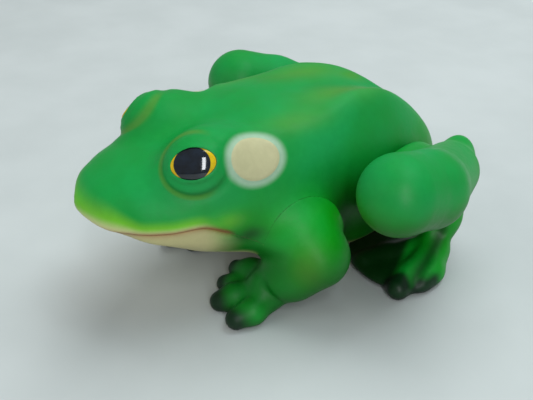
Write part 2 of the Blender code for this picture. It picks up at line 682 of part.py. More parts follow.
def crank_train():
    centre = pivot("crank_axis", (*CRANK_AT, 0))
    shaft = add("crank_arbor", turned(arbor(CRANK_Z - 0.6, 43.4, 1.2)), STEEL, (*CRANK_AT, 0))
    facing = math.atan2(SECOND_AT[1] - CRANK_AT[1], SECOND_AT[0] - CRANK_AT[0])
    pinion = extruded([gear_outline(PINION_TEETH, facing, tooth=False)], 32.2, 35.4)
    fuse(shaft, helper("crank_pinion", pinion, (*CRANK_AT, 0)))
    disc = [arc((0, 0), 5.6, steps=FINE), arc((0, 0), 1.5, steps=12)]
    disc = add("crank_disc", extruded(disc, CRANK_Z, CRANK_Z + PLATE), BRASS, (*CRANK_AT, 0))
    x, y = CRANK_AT[0], CRANK_AT[1] - THROW
    fuse(disc, helper("crank_pin", cylinder((x, y, ROD_Z + 1.5), (x, y, CRANK_Z + 0.6), 0.9)))
    hang(centre, shaft, disc)


def loop(centre, across, radius, wire):
    """A wire ring around an axis."""
    bm = bmesh.new()
    steps, sides = FINE, 6
    rings = []
    for i in range(steps):
        turn = Matrix.Rotation(2 * math.pi * i / steps, 4, "Z")
        rings.append([bm.verts.new(turn @ Vector((radius + wire * math.cos(a), 0, wire * math.sin(a))))
                      for a in (2 * math.pi * k / sides for k in range(sides))])
    for first, second in zip(rings, rings[1:] + rings[:1]):
        for k in range(sides):
            after = (k + 1) % sides
            bm.faces.new((first[k], first[after], second[after], second[k]))
    bmesh.ops.transform(bm, matrix=Matrix.Translation(centre) @ towards(across), verts=bm.verts)
    return finished(bm)


def leg_drive(hind_legs):
    """The hip axle with its rocker arm, and the rod that the crank pulls."""
    centre = pivot("hip_axis", (0, *HIP))
    axle = turned(arbor(-AXLE_END, AXLE_END, AXLE_RADIUS), COARSE)
    axle.transform(towards((1, 0, 0)))
    axle = add("hip_axle", axle, STEEL, (0, *HIP))
    lean = math.degrees(math.atan2(ROCKER_PIN[1] - HIP[1], ROCKER_PIN[0] - HIP[0]))
    outline = arc(HIP, 4, lean + 60, lean + 300, 14) + arc(ROCKER_PIN, 2.2, lean - 90, lean + 90, 8)
    holes = [arc(HIP, AXLE_RADIUS + GAP, steps=12)]
    rocker = add("rocker_arm", extruded([outline, *holes], 2, 4, across="X"), TINPLATE)
    fuse(rocker, helper("rocker_pin", cylinder((-2.2, *ROCKER_PIN), (3, *ROCKER_PIN), 0.9)))
    hang(centre, axle, rocker, *hind_legs)

    rod_centre = pivot("rod_axis", (0, *ROCKER_PIN))
    front = (0, CRANK_AT[1] - THROW, ROD_Z)
    eye, wire = 2.1, 0.8
    rod = add("connecting_rod", loop((0, *ROCKER_PIN), (1, 0, 0), eye, wire), STEEL)
    bend = Vector((0, ROD_BEND, ROD_Z))
    end = Vector((0, *ROCKER_PIN)) - (Vector((0, *ROCKER_PIN)) - bend).normalized() * eye
    fuse(rod, helper("rod_front", cylinder(Vector(front) + Vector((0, eye, 0)), bend, wire, 8)),
         helper("rod_bend", ellipsoid(bend, (wire + 0.1,) * 3)),
         helper("rod_rear", cylinder(bend, end, wire, 8)),
         helper("rod_front_eye", loop(front, (0, 0, 1), eye, wire)))
    hang(rod_centre, rod)
    rod_centre.parent = centre
    rod_centre.matrix_parent_inverse = Matrix.Translation(-centre.location)


body_shells()
plates()
hip_bracket()
winding_train()
second_train()
crank_train()
leg_drive(limbs())
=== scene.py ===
"""The jumping frog's looks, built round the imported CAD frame.

The moulded skin is drawn as a signed distance field, a grid of distances to the surface that is
negative inside. Soft solids melt together in it, and its zero surface becomes the mesh. The body
and the front legs are one skin, which booleans part into the CAD's two shells and two front legs.
The hind legs are skins of their own, held clear of the first over the whole kick.
Lengths are millimetres in the CAD's frame, and become metres in the meshes. The studio and the
camera are placed in metres.
"""

import math

import bpy
import numpy as np
from mathutils import Matrix, Vector


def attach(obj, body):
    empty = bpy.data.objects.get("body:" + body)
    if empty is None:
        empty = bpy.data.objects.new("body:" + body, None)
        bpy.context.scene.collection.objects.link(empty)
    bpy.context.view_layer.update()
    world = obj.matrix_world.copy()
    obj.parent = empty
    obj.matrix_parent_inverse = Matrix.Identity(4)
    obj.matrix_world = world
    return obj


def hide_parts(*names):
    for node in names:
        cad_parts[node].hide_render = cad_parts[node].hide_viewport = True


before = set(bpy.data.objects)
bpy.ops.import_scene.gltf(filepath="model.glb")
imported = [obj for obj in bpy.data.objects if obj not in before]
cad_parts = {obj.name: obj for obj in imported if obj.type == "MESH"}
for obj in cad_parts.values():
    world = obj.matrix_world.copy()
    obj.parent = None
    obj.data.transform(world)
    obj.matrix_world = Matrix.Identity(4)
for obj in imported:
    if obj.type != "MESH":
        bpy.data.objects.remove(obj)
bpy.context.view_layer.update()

MM = 0.001
STEP = 0.7  # grid pitch of the skin
HAIRLINE = 0.12  # gap between pieces that lie against each other
SEAM = 0.012  # gap round the front legs, whose joint is all but closed
FIT = 0.3  # gap round a pin in its hole, and under the clockwork's plate
LEG_GAP = 0.35  # gap between a hind leg and the body
WALL = 2.4
AHEAD, BEHIND = -80.0, 80.0  # y of the nose's tip and of the tail end
WIDTH, HEIGHT = 58.1, 79.1  # reach of the body's grid
MARGIN, UNDER = 2.1, -1.4  # its reach past both ends, and its lowest level
LEG_WINDOW = (10, -3, UNDER), (76, 80, 70)  # the box round the left hind leg

# ---------------------------------------------------------------- shape of the skin

# Body sections: y, lowest z, z of the widest level, highest z, half width, distance of the
# back ridge from the middle, height of that ridge.
SECTIONS = [
    (-80, 45.0, 46.5, 48.0, 2.0, 20, 0.0),
    (-76, 40.2, 44.0, 52.4, 12.6, 20, 0.0),
    (-68, 37.0, 41.0, 56.8, 22.0, 20, 0.0),
    (-58, 32.6, 39.3, 60.0, 28.0, 20, 0.0),
    (-46, 27.0, 39.0, 63.4, 32.2, 21, 0.0),
    (-32, 21.0, 40.0, 67.5, 34.3, 23, 0.6),
    (-14, 16.2, 38.5, 71.5, 35.3, 24, 1.4),
    (6, 8.2, 34.8, 72.3, 35.2, 23, 2.4),
    (24, 3.6, 32.3, 71.2, 33.0, 19, 5.0),
    (40, 3.2, 31.0, 66.9, 28.6, 15, 4.4),
    (54, 6.2, 28.7, 59.4, 23.2, 11, 2.4),
    (68, 11.8, 26.2, 48.4, 16.6, 6, 0.0),
    (80, 21.0, 25.0, 31.0, 5.0, 6, 0.0),
]
SIDE_POWER, ROOF_POWER, FLOOR_POWER = 2.6, 2.8, 2.4  # squareness of a section
RIDGE_WIDTH = 6.5
SADDLE, SADDLE_WIDTH = 0.25, 6  # dip along the middle, as a share of the ridge, and its width

# The two shells part along the mouth, behind the shoulder and low along the flank (y, z).
PARTING = [
    (-95, 41.5), (-80, 41.8), (-70, 42.3), (-58, 42.4), (-47, 43.4), (-39, 40.5), (-28, 34),
    (-13, 22), (0, 15), (16, 12.5), (54, 15.5), (68, 18.5), (95, 26),
]
MOUTH_END = -37.0  # y of the corner of the mouth
LIP_DEPTH, LIP_WIDTH = 1.3, 1.0  # the furrow along the mouth
JAW_SETBACK = 1.3  # how far the lower jaw lies behind the upper lip

MOUND, MOUND_RADII, MOUND_TURN = (17.5, -38.5, 61.2), (11.5, 14, 11.5), (0, 12, 8)
MOUND_MELT = 9  # how softly the eye mound runs into the head
# The eye and the ear disc: the middle, the way that it faces, and its roll or its height.
EYE, EYE_LOOK, EYE_ROLL = (25.9, -46.3, 66.0), (0.71, -0.46, 0.53), 11
EAR, EAR_OUT, EAR_RISE = (28.0, -24.8, 63.1), (0.76, 0.0, 0.65), 0.5
EYE_LONG, EYE_HIGH = 7.5, 5.2  # half length and half height of the eye's opening
ALMOND = 0.12  # how pointed the opening's corners are
EYE_RISE, EYE_DEPTH = 1.4, 0.9  # the eye's dome over the opening's plane, and its edge under it
STEM, STEM_DEPTH, STEM_TOP = 2.0, 5.0, 0.2  # radius of the stem behind the eye, and its ends
POCKET_TOP = 15.0  # the hole for the eye is cut from this far over the opening's plane
FOLD_LONG, FOLD_HIGH = 11.6, 10.8  # the fold round the lids
LID_RISE, RIM_RISE, CREASE_DEPTH = 0.7, 0.5, 0.4  # the lids, their rim and the fold's crease
PUPIL_LONG, PUPIL_HIGH, PUPIL_SHIFT = 6.2, 5.7, -0.35  # half axes, and place along the eye
EAR_LONG, EAR_HIGH = 9.1, 7.5  # half axes
# A ridge from the lids over the ear. Its place and width are shares of the ear's half axes.
BROW_AT, BROW_WIDTH, BROW_RISE = 1.6, 0.3, 0.5

# Limbs: rows of (x, y, z, radius) along soft tapered rods, and (centre, radii, turn) ellipsoids.
ARM = [
    (25, -11, 35, 12), (34, -9.5, 31, 11.6), (40.5, -6, 23.5, 10.6), (36.5, -14, 15.5, 8.8),
    (31.5, -22, 10, 7.2),
]
PALM = ((29.5, -25, 4.8), (8.6, 9, 5.4), (0, 0, 0))
FINGERS = [
    [(34, -22, 6.2, 5.0), (36.5, -31, 5.0, 4.7), (36, -37.5, 3.8, 4.1)],
    [(28, -25, 5.4, 5.2), (25.5, -33, 4.6, 4.9), (24, -38, 3.6, 4.0)],
    [(25, -23, 4.8, 4.4), (19, -28.5, 4.2, 4.2), (15.5, -31.5, 3.6, 3.4)],
    [(26, -18.5, 10, 5.4), (18.5, -22, 8, 4.5), (12.5, -24.5, 6.2, 3.6)],
]
SHANK = [(57, 15, 51.9, 14.6), (53.8, 31, 47.6, 14), (38.5, 56, 40.4, 11.8)]
HEEL = ((30.5, 68, 38.6), (7.2, 8.4, 11), (15, 0, 26))
THIGH = ((36.5, 33.5, 40.8), (9.5, 26.5, 12.4), (2, 0, 27))
HIP_BALL = ((26, 52, 33.5), (9.5, 11, 11), (0, 0, 0))
FOOT = [(34, 64.5, 34, 7), (38.5, 57, 19, 6.2), (42, 49.5, 8.5, 5.8)]
TOES = [
    [(43, 51, 6.6, 5.4), (49.5, 42.5, 4.6, 4.5), (52.5, 35.5, 3.8, 4.2)],
    [(42, 50, 7.6, 5.6), (49, 34, 4.9, 4.8), (52, 24.5, 3.9, 4.4)],
    [(38, 49, 6.6, 5), (34, 34, 4.2, 4.4), (31, 24.5, 3.6, 4.0)],
]
WEB = ((34.5, 37.5, 3.2), (22, 18.5, 4.2), (0, 0, -8))
# Furrows: the two ends of the line that each is pressed in along, its depth and its width.
GROOVE = ((44.5, 50, 17), (54.4, 29.5, 7.6)), 2.2, 3.0
WRIST = ((34, -27.5, 17.5), (42, -22, 7)), 1.1, 1.6

# How softly the limbs' rods and ellipsoids run into each other.
ARM_MELT, FINGER_MELT, KNUCKLE_MELT, HAND_MELT = 6, 3, 2, 3.5
SHANK_MELT, HEEL_MELT, THIGH_MELT, HIP_MELT = 2.4, 6, 1.5, 5
FOOT_MELT, TOE_MELT, WEB_MELT, ANKLE_MELT = 6, 4, 3, 6

HIP = (54.0, 38.0)  # y and z of the hip axle
KICK = math.radians(24)
AXLE_RADIUS, AXLE_END = 1.6, 33.0
PEG, PEG_RADIUS = (-8.0, 35.0), 4.0  # the front leg's plug
SHOULDER_MELT = 9.0  # how softly the arm runs into the body
SHOULDER_RIM = 3.0  # the front leg's piece ends this far outside the bare arm


class Lattice:
    """Where a grid's points start, and their pitch."""

    def __init__(self, low, step):
        self.low, self.step = np.array(low, np.float32), step


class Window(Lattice):
    """The grid points of a box, on the frog's left half."""

    def __init__(self, low, high, step):
        super().__init__(low, step)
        counts = [int(math.ceil((b - a) / step)) + 1 for a, b in zip(low, high)]
        axes = [a + step * np.arange(n, dtype=np.float32) for a, n in zip(low, counts)]
        self.x, self.y, self.z = np.ix_(*axes)


def rotation(degrees):
    """The matrix that turns about X, then Y, then Z."""
    x, y, z = (math.radians(d) for d in degrees)
    turns = Matrix.Rotation(z, 3, "Z") @ Matrix.Rotation(y, 3, "Y") @ Matrix.Rotation(x, 3, "X")
    return np.array(turns, np.float32)


def melt(a, b, reach):
    """The smooth least of two fields, which fills the corner between them."""
    share = np.clip(0.5 + 0.5 * (b - a) / reach, 0, 1)
    return b + (a - b) * share - reach * share * (1 - share)


def ramp(value, start, end):
    """Smooth step from 0 at start to 1 at end."""
    t = np.clip((value - start) / (end - start), 0, 1)
    return t * t * (3 - 2 * t)


def bell(value, at, width):
    """A soft ridge that is 1 where the value is at its place."""
    return np.exp(-(((value - at) / width) ** 2))


def ellipsoid(grid, centre, radii, turn):
    offset = [grid.x - centre[0], grid.y - centre[1], grid.z - centre[2]]
    turned = rotation(turn)
    local = [sum(turned[i, k] * offset[i] for i in range(3)) for k in range(3)]
    near = np.sqrt(sum((p / r) ** 2 for p, r in zip(local, radii)))
    slope = np.sqrt(sum((p / r**2) ** 2 for p, r in zip(local, radii)))
    return near * (near - 1) / np.maximum(slope, 1e-6)


def beside(grid, start, end):
    """How far along the line between two points, from 0 to 1, and how far off it."""
    offset = (grid.x - start[0], grid.y - start[1], grid.z - start[2])
    line = np.subtract(end, start).astype(np.float32)
    share = np.clip(sum(o * d for o, d in zip(offset, line)) / float(line @ line), 0, 1)
    return share, np.sqrt(sum((o - share * d) ** 2 for o, d in zip(offset, line)))


def rod(grid, start, end):
    """A tapered rod between two rows of (x, y, z, radius)."""
    share, away = beside(grid, start[:3], end[:3])
    return away - (start[3] + (end[3] - start[3]) * share)


def chain(grid, rows, reach):
    """Rods from row to row, melted together."""
    field = rod(grid, rows[0], rows[1])
    for start, end in zip(rows[1:], rows[2:]):
        field = melt(field, rod(grid, start, end), reach)
    return field


def furrow(grid, line, depth, width):
    """What a field gains along a line, to be pressed in there."""
    _, away = beside(grid, *line)
    return depth * bell(away, 0, width)


def smooth(table, column, at):
    """Monotone cubic through one column of a table, at the places in its first column."""
    places = np.array([row[0] for row in table], float)
    values = np.array([row[column] for row in table], float)
    slopes = np.gradient(values, places)
    chords = np.diff(values) / np.diff(places)
    for i, chord in enumerate(chords):
        if chord == 0:
            slopes[i] = slopes[i + 1] = 0
            continue
        before, after = max(slopes[i] / chord, 0), max(slopes[i + 1] / chord, 0)
        steep = math.hypot(before, after)
        limit = min(1, 3 / steep) if steep else 1
        slopes[i], slopes[i + 1] = before * limit * chord, after * limit * chord
    inside = np.clip(at, places[0], places[-1])
    k = np.clip(np.searchsorted(places, inside, side="right") - 1, 0, len(places) - 2)
    width = places[k + 1] - places[k]
    t = (inside - places[k]) / width
    return ((2 * t**3 - 3 * t**2 + 1) * values[k] + (t**3 - 2 * t**2 + t) * width * slopes[k]
            + (3 * t**2 - 2 * t**3) * values[k + 1] + (t**3 - t**2) * width * slopes[k + 1])


def torso(grid):
    """The bare body: superelliptic sections with a ridge down each side of the back."""
    flattest, farthest = 0.008, 60  # least slope and greatest distance that the field takes
    y = grid.y[0, :, 0]
    low, level, high, half, ridge_at, ridge = (
        smooth(SECTIONS, column, y)[None, :, None].astype(np.float32) for column in range(1, 7))
    away = np.abs(grid.x)
    high = high + ridge * bell(away, ridge_at, RIDGE_WIDTH)
    high = high - SADDLE * ridge * bell(away, 0, SADDLE_WIDTH)
    above = grid.z >= level
    height = np.maximum(np.where(above, high - level, level - low), 1)
    rise = (np.abs(grid.z - level) / height) ** np.where(above, ROOF_POWER, FLOOR_POWER)
    half = np.maximum(half, 1)
    field = ((away / half) ** SIDE_POWER + rise) ** (1 / SIDE_POWER) - 1
    slopes = np.gradient(field, grid.step)
    steepness = np.sqrt(sum(s * s for s in slopes))
    field = np.clip(field / np.maximum(steepness, flattest), -farthest, farthest)
    return np.maximum(field, np.maximum(AHEAD - grid.y, grid.y - BEHIND)).astype(np.float32)


def mouth_level(y):
    """The parting's height, which is the mouth's along the jaw."""
    return smooth(PARTING, 1, y)


def disc_axes(facing, roll=0.0):
    """The directions along, across and out of a disc that faces that way, rolled by degrees."""
    out = Vector(facing).normalized()
    level = Vector((0, 0, 1)).cross(out).normalized()
    upwards = out.cross(level)
    c, s = math.cos(math.radians(roll)), math.sin(math.radians(roll))
    return level * c + upwards * s, upwards * c - level * s, out


def on_plane(grid, origin, facing, roll=0.0):
    """Coordinates along and across such a disc, and the height over it."""
    offset = (grid.x - origin[0], grid.y - origin[1], grid.z - origin[2])
    return [sum(offset[i] * axis[i] for i in range(3)) for axis in disc_axes(facing, roll)]


def head(grid, field):
    """Adds to the torso the eye mounds, the lids, the ears, the lips and the jaw."""
    field = melt(field, ellipsoid(grid, MOUND, MOUND_RADII, MOUND_TURN), MOUND_MELT)
    along, across, height = on_plane(grid, EYE, EYE_LOOK, EYE_ROLL)
    opening = np.hypot(along / EYE_LONG, across / EYE_HIGH)
    fold = np.hypot(along / FOLD_LONG, across / FOLD_HIGH)
    lids = LID_RISE * ramp(fold, 1.0, 0.86) + RIM_RISE * bell(opening, 1.08, 0.12)
    crease = CREASE_DEPTH * bell(fold, 1.03, 0.15)
    field = field - (lids - crease) * ramp(np.abs(height), 12, 5)
    along, across, height = on_plane(grid, EAR, EAR_OUT)
    away = np.hypot(along / EAR_LONG, across / EAR_HIGH)
    disc = EAR_RISE * ramp(away, 1.05, 0.95)
    brow = BROW_RISE * bell(away, BROW_AT, BROW_WIDTH) * ramp(across, 2, 8)
    field = field - (disc + brow) * ramp(np.abs(height), 12, 7)
    below = mouth_level(grid.y[0, :, 0])[None, :, None] - grid.z
    lip = ramp(grid.y, MOUTH_END + 3, MOUTH_END - 2)
    field = field + lip * LIP_DEPTH * bell(below, 0, LIP_WIDTH)
    jaw = ramp(below, -0.5, 1.5) * ramp(below, 16, 6) * ramp(grid.y, MOUTH_END + 8, MOUTH_END - 8)
    return (field + JAW_SETBACK * jaw * (1 + ramp(grid.y, -60, -72))).astype(np.float32)


def front_leg(grid):
    """The left arm with its hand."""
    field = chain(grid, ARM, ARM_MELT) + furrow(grid, *WRIST)
    hand = ellipsoid(grid, *PALM)
    for finger in FINGERS:
        hand = melt(hand, chain(grid, finger, FINGER_MELT), KNUCKLE_MELT)
    return melt(field, hand, HAND_MELT).astype(np.float32)


def hind_leg(grid):
    """The left hind leg with its webbed foot."""
    field = melt(chain(grid, SHANK, SHANK_MELT), ellipsoid(grid, *HEEL), HEEL_MELT)
    field = melt(field, ellipsoid(grid, *THIGH), THIGH_MELT)
    field = melt(field, ellipsoid(grid, *HIP_BALL), HIP_MELT)
    foot = chain(grid, FOOT, FOOT_MELT)
    for toe in TOES:
        foot = melt(foot, chain(grid, toe, TOE_MELT), WEB_MELT)
    foot = melt(foot, ellipsoid(grid, *WEB), WEB_MELT) + furrow(grid, *GROOVE)
    return melt(field, foot, ANKLE_MELT).astype(np.float32)


def sample(field, grid, points):
    """The field at any points, by straight lines between the grid points."""
    place = (points - grid.low) / grid.step
    limit = np.array(field.shape) - 2
    cell = np.clip(np.floor(place).astype(np.int64), 0, limit)
    t = np.clip(place - cell, 0, 1).astype(np.float32)
    total = np.zeros(len(points), np.float32)
    for corner in np.ndindex(2, 2, 2):
        i, j, k = (cell + corner).T
        weight = np.prod(np.where(corner, t, 1 - t), axis=1)
        total += weight * field[i, j, k]
    return total


# ---------------------------------------------------------------- from fields to meshes

CORNERS = list(np.ndindex(2, 2, 2))
EDGES = [(a, b) for i, a in enumerate(CORNERS) for b in CORNERS[i + 1:]
         if sum(abs(p - q) for p, q in zip(a, b)) == 1]


def level_surface(field, grid, level):
    """Points and quads of the surface where the field has that level, by surface nets."""
    field = field - np.float32(level)
    inside = field < 0
    count = sum(inside[i:inside.shape[0] - 1 + i, j:inside.shape[1] - 1 + j,
                       k:inside.shape[2] - 1 + k].astype(np.int8) for i, j, k in CORNERS)
    cells = np.argwhere((count > 0) & (count < 8))
    number = np.full(count.shape, -1, np.int32)
    number[tuple(cells.T)] = np.arange(len(cells))
    values = {c: field[tuple((cells + c).T)] for c in CORNERS}
    total, crossings = np.zeros((len(cells), 3), np.float32), np.zeros(len(cells), np.float32)
    for a, b in EDGES:
        crossed = (values[a] < 0) != (values[b] < 0)
        with np.errstate(divide="ignore", invalid="ignore"):
            t = np.where(crossed, values[a] / (values[a] - values[b]), 0)
        point = np.array(a, np.float32) + t[:, None] * np.subtract(b, a).astype(np.float32)
        total += np.where(crossed[:, None], point, 0)
        crossings += crossed
    points = grid.low + grid.step * (cells + total / crossings[:, None])
    quads = []
    for axis in range(3):
        ahead = np.roll(inside, -1, axis)
        changed = np.argwhere((inside != ahead)[1:-1, 1:-1, 1:-1]) + 1
        u, v = np.eye(3, dtype=int)[(axis + 1) % 3], np.eye(3, dtype=int)[(axis + 2) % 3]
        ring = [number[tuple((changed - shift).T)] for shift in (0 * u, u, u + v, v)]
        outwards = inside[tuple(changed.T)]
        ring = np.stack(ring, 1)
        quads.append(np.where(outwards[:, None], ring, ring[:, ::-1]))
    return points, np.concatenate(quads)


def settled(points, field, grid, level):
    """Moves each point straight on to the level surface."""
    rounds, half = 2, 0.5 * grid.step
    for _ in range(rounds):
        slope = np.stack([sample(field, grid, points + aside) - sample(field, grid, points - aside)
                          for aside in half * np.eye(3, dtype=np.float32)], 1)
        slope /= np.maximum(np.linalg.norm(slope, axis=1, keepdims=True), 1e-6)
        gap = np.clip(sample(field, grid, points) - level, -half, half)
        points = points - gap[:, None] * slope
    return points


def mesh_from(points, quads):
    """A mesh in metres."""
    mesh = bpy.data.meshes.new("skin")
    mesh.vertices.add(len(points))
    mesh.vertices.foreach_set("co", (points * MM).astype(np.float32).ravel())
    mesh.loops.add(quads.size)
    mesh.loops.foreach_set("vertex_index", quads.astype(np.int32).ravel())
    mesh.polygons.add(len(quads))
    starts = np.arange(0, quads.size, quads.shape[1], dtype=np.int32)
    mesh.polygons.foreach_set("loop_start", starts)
    mesh.update(calc_edges=True)
    mesh.validate()
    return mesh


def both_halves(field, grid):
    """The field over both halves of the frog, and its lattice."""
    low = grid.low.copy()
    low[0] = -(grid.low[0] + grid.step * (field.shape[0] - 1))
    return np.concatenate([field[:0:-1], field]), Lattice(low, grid.step)


def solid(field, grid, level=0.0):
    """The mesh of the surface where the field has that level."""
    points, quads = level_surface(field, grid, level)
    return mesh_from(settled(points, field, grid, level), quads)


def combined(start, *steps):
    """A new mesh: the start mesh after each (operation, mesh) in turn."""
    carrier = bpy.data.objects.new("carrier", start)
    bpy.context.scene.collection.objects.link(carrier)
    others = []
    for operation, mesh in steps:
        other = bpy.data.objects.new("other", mesh)
        bpy.context.scene.collection.objects.link(other)
        others.append(other)
        modifier = carrier.modifiers.new(operation, "BOOLEAN")
        modifier.operation, modifier.solver, modifier.object = operation, "MANIFOLD", other
    graph = bpy.context.evaluated_depsgraph_get()
    result = bpy.data.meshes.new_from_object(carrier.evaluated_get(graph))
    for made in [carrier, *others]:
        bpy.data.objects.remove(made)
    if not result.polygons:
        raise RuntimeError(f"nothing is left after {[s[0] for s in steps]}")
    return result


# ---------------------------------------------------------------- plain solids for booleans


def cylinder(start, end, radius):
    sides, start, end = 40, Vector(start), Vector(end)
    turn = (end - start).to_track_quat("Z", "Y").to_matrix()
    angles = [2 * math.pi * i / sides for i in range(sides)]
    rim = [turn @ Vector((radius * math.cos(a), radius * math.sin(a), 0)) for a in angles]
    points = [start + p for p in rim] + [end + p for p in rim]
    faces = [tuple(range(sides))[::-1], tuple(range(sides, 2 * sides))]
    faces += [(i, (i + 1) % sides, sides + (i + 1) % sides, sides + i) for i in range(sides)]
    mesh = bpy.data.meshes.new("cylinder")
    mesh.from_pydata([p * MM for p in points], [], faces)
    return mesh


def under_parting(shift):
    """The block under the parting surface, moved by shift along Z."""
    across, floor, ends, pitch = 90.0, -30.0, 92.0, 2.0
    y = np.arange(-ends, ends + 1, pitch)
    top = mouth_level(y) + shift
    outline = [*zip(y, top), (y[-1], floor), (y[0], floor)]
    n = len(outline)
    points = [Vector((x, *p)) * MM for x in (-across, across) for p in outline]
    faces = [tuple(range(n)), tuple(range(n, 2 * n))[::-1]]
    faces += [(i, n + i, n + (i + 1) % n, (i + 1) % n) for i in range(n)]
    mesh = bpy.data.meshes.new("parting")
    mesh.from_pydata(points, [], faces)
    return mesh


def mirrored_mesh(mesh):
    """The same piece on the frog's right side."""
    other = mesh.copy()
    other.transform(Matrix.Scale(-1, 4, (1, 0, 0)))
    other.flip_normals()
    return other


def eye_outline(angle, grow=0.0):
    """The almond round the eye's opening, in its own plane."""
    c, s = math.cos(angle), math.sin(angle)
    return (EYE_LONG + grow) * c * abs(c) ** ALMOND, (EYE_HIGH + grow) * s


def eye_solid(grow=0.0, top=None):
    """The eye's dome, or with a top the pocket that takes it."""
    around, rings = 96, 24
    along, across, out = disc_axes(EYE_LOOK, EYE_ROLL)

    def at(share, angle, height):
        u, v = eye_outline(angle, grow)
        return (Vector(EYE) + along * u * share + across * v * share + out * height) * MM

    angles = [2 * math.pi * i / around for i in range(around)]
    levels = [(k / rings, EYE_RISE * (1 - (k / rings) ** 2) if top is None else top)
              for k in range(1, rings + 1)]
    levels.append((1.0, -EYE_DEPTH - grow))
    points = [at(share, angle, height) for share, height in levels for angle in angles]
    points.append(at(0, 0, EYE_RISE if top is None else top))
    last = len(levels) - 1
    faces = [(k * around + i, (k + 1) * around + i, (k + 1) * around + (i + 1) % around,
              k * around + (i + 1) % around) for k in range(last) for i in range(around)]
    faces += [(len(points) - 1, i, (i + 1) % around) for i in range(around)]
    faces.append([last * around + i for i in range(around)][::-1])
    mesh = bpy.data.meshes.new("eye")
    mesh.from_pydata(points, [], faces)
    start, end = (Vector(EYE) - out * d for d in (STEM_DEPTH + grow, STEM_TOP))
    return combined(mesh, ("UNION", cylinder(start, end, STEM + grow)))


# ---------------------------------------------------------------- the skin's pieces

# Each case screw's place, the seat of its head, and its post's reach in the back and the belly.
CASE_SCREWS = [((0, -55), 36.2, (34, 59), (33.5, 45)), ((0, 65), 13.0, (14, 47), (12.5, 30))]
CASE_POST, MOTOR_POST = 3.2, 4.2  # radii of the posts
SCREW, SCREW_LENGTH, SCREW_HEAD = 1.4, 14, 2.8  # radius and length of a screw's hole, and its head
PILLARS = [(x, y) for y in (-15, 24) for x in (-15, 15)]
MOTOR_SEAT, PLATE_UNDERSIDE = 21.4, 24.0
KEY_AT, KEY_SEAT = (0, -6), 12.1  # the key bushing's flange hangs under this level
KEY_BOSS, KEY_FLANGE, KEY_BORE = 7, 6.8, 4.2  # radii round the key bushing
KEY_BOSS_TOP, KEY_BORE_REACH = 21, (5, 30)
ROOM_ENDS = -72, 69  # y of the ends of the case's hollow
PEG_REACH, PEG_HOLE_REACH = (28, 40), (20, 45)
PEG_BORE, PEG_BORE_REACH = 1.5, (20, 38.6)  # for the screw in the peg
HIP_HOLE_GAP, HIP_HOLE_END = 0.5, 45  # the axle's hole through the case


def upright(at, low, high, radius):
    """A cylinder along Z, at that x and y."""
    return cylinder((*at, low), (*at, high), radius)


def sideways(at, start, end, radius):
    """A cylinder along X, at that y and z."""
    return cylinder((start, *at), (end, *at), radius)


def screw_hole(at, seat):
    """The cuts for a screw that comes from below: its thread's and its head's."""
    return [("DIFFERENCE", upright(at, seat - 0.1, seat + SCREW_LENGTH, SCREW)),
            ("DIFFERENCE", upright(at, -1, seat, SCREW_HEAD))]


def leg_room(grid, obstacle, whole):
    """The least distance to an obstacle over the whole kick, as the leg meets it."""
    points = np.stack(np.broadcast_arrays(grid.x, grid.y, grid.z), -1).reshape(-1, 3)
    y, z = points[:, 1] - HIP[0], points[:, 2] - HIP[1]
    nearest = np.full(len(points), np.inf, np.float32)
    for share in (0, 0.25, 0.5, 0.75, 1):
        c, s = math.cos(KICK * share), math.sin(KICK * share)
        moved = np.stack([points[:, 0], HIP[0] + c * y - s * z, HIP[1] + s * y + c * z], 1)
        nearest = np.minimum(nearest, sample(obstacle, whole, moved.astype(np.float32)))
    return nearest.reshape(len(grid.x), grid.y.shape[1], grid.z.shape[2])


def inner_room(bare, carved, grid):
    """The case's hollow, a wall's thickness inside the body, from every second grid point."""
    hollow = np.maximum(bare, carved)[::2, ::2, ::2] + WALL
    y = grid.y[:, ::2]
    ends = np.maximum(ROOM_ENDS[0] - y, y - ROOM_ENDS[1])
    coarse = Lattice(grid.low, 2 * STEP)
    return solid(*both_halves(np.maximum(hollow, ends).astype(np.float32), coarse))


def front_leg_piece(outer, rim, torso_room):
    """The left front leg: the skin inside its rim and outside the torso, with a bored peg."""
    return combined(outer, ("INTERSECT", rim), ("DIFFERENCE", torso_room),
                    ("UNION", sideways(PEG, *PEG_REACH, PEG_RADIUS)),
                    ("DIFFERENCE", sideways(PEG, *PEG_BORE_REACH, PEG_BORE)))


def hind_leg_piece(skin, grid):
    """The left hind leg, clear of the skin over the whole kick, with the hip axle's hole."""
    window = Window(*LEG_WINDOW, STEP)
    room = leg_room(window, *both_halves(skin, grid))
    field = np.maximum(np.maximum(hind_leg(window), LEG_GAP - room), -window.z)
    hole = sideways(HIP, 0, AXLE_END + FIT, AXLE_RADIUS + FIT)
    return combined(solid(field, window), ("DIFFERENCE", hole))


def hollow_case(outer, room, shoulder):
    """The skin of both shells in one, hollow, with room for the front legs, pegs and eyes."""
    peg_hole = sideways(PEG, *PEG_HOLE_REACH, PEG_RADIUS + FIT)
    pocket = eye_solid(HAIRLINE, POCKET_TOP)
    cuts = [mesh for cut in (shoulder, pocket, peg_hole) for mesh in (cut, mirrored_mesh(cut))]
    return combined(outer, *(("DIFFERENCE", mesh) for mesh in [*cuts, room]))


def back_shell(case):
    """The case above the parting, with the upper posts of the case screws."""
    hip_hole = sideways(HIP, -HIP_HOLE_END, HIP_HOLE_END, AXLE_RADIUS + HIP_HOLE_GAP)
    posts = [("UNION", upright(at, *reach, CASE_POST)) for at, _, reach, _ in CASE_SCREWS]
    holes = [cut for at, seat, *_ in CASE_SCREWS for cut in screw_hole(at, seat)]
    return combined(case, ("DIFFERENCE", hip_hole), *posts,
                    ("DIFFERENCE", under_parting(HAIRLINE / 2)), *holes)


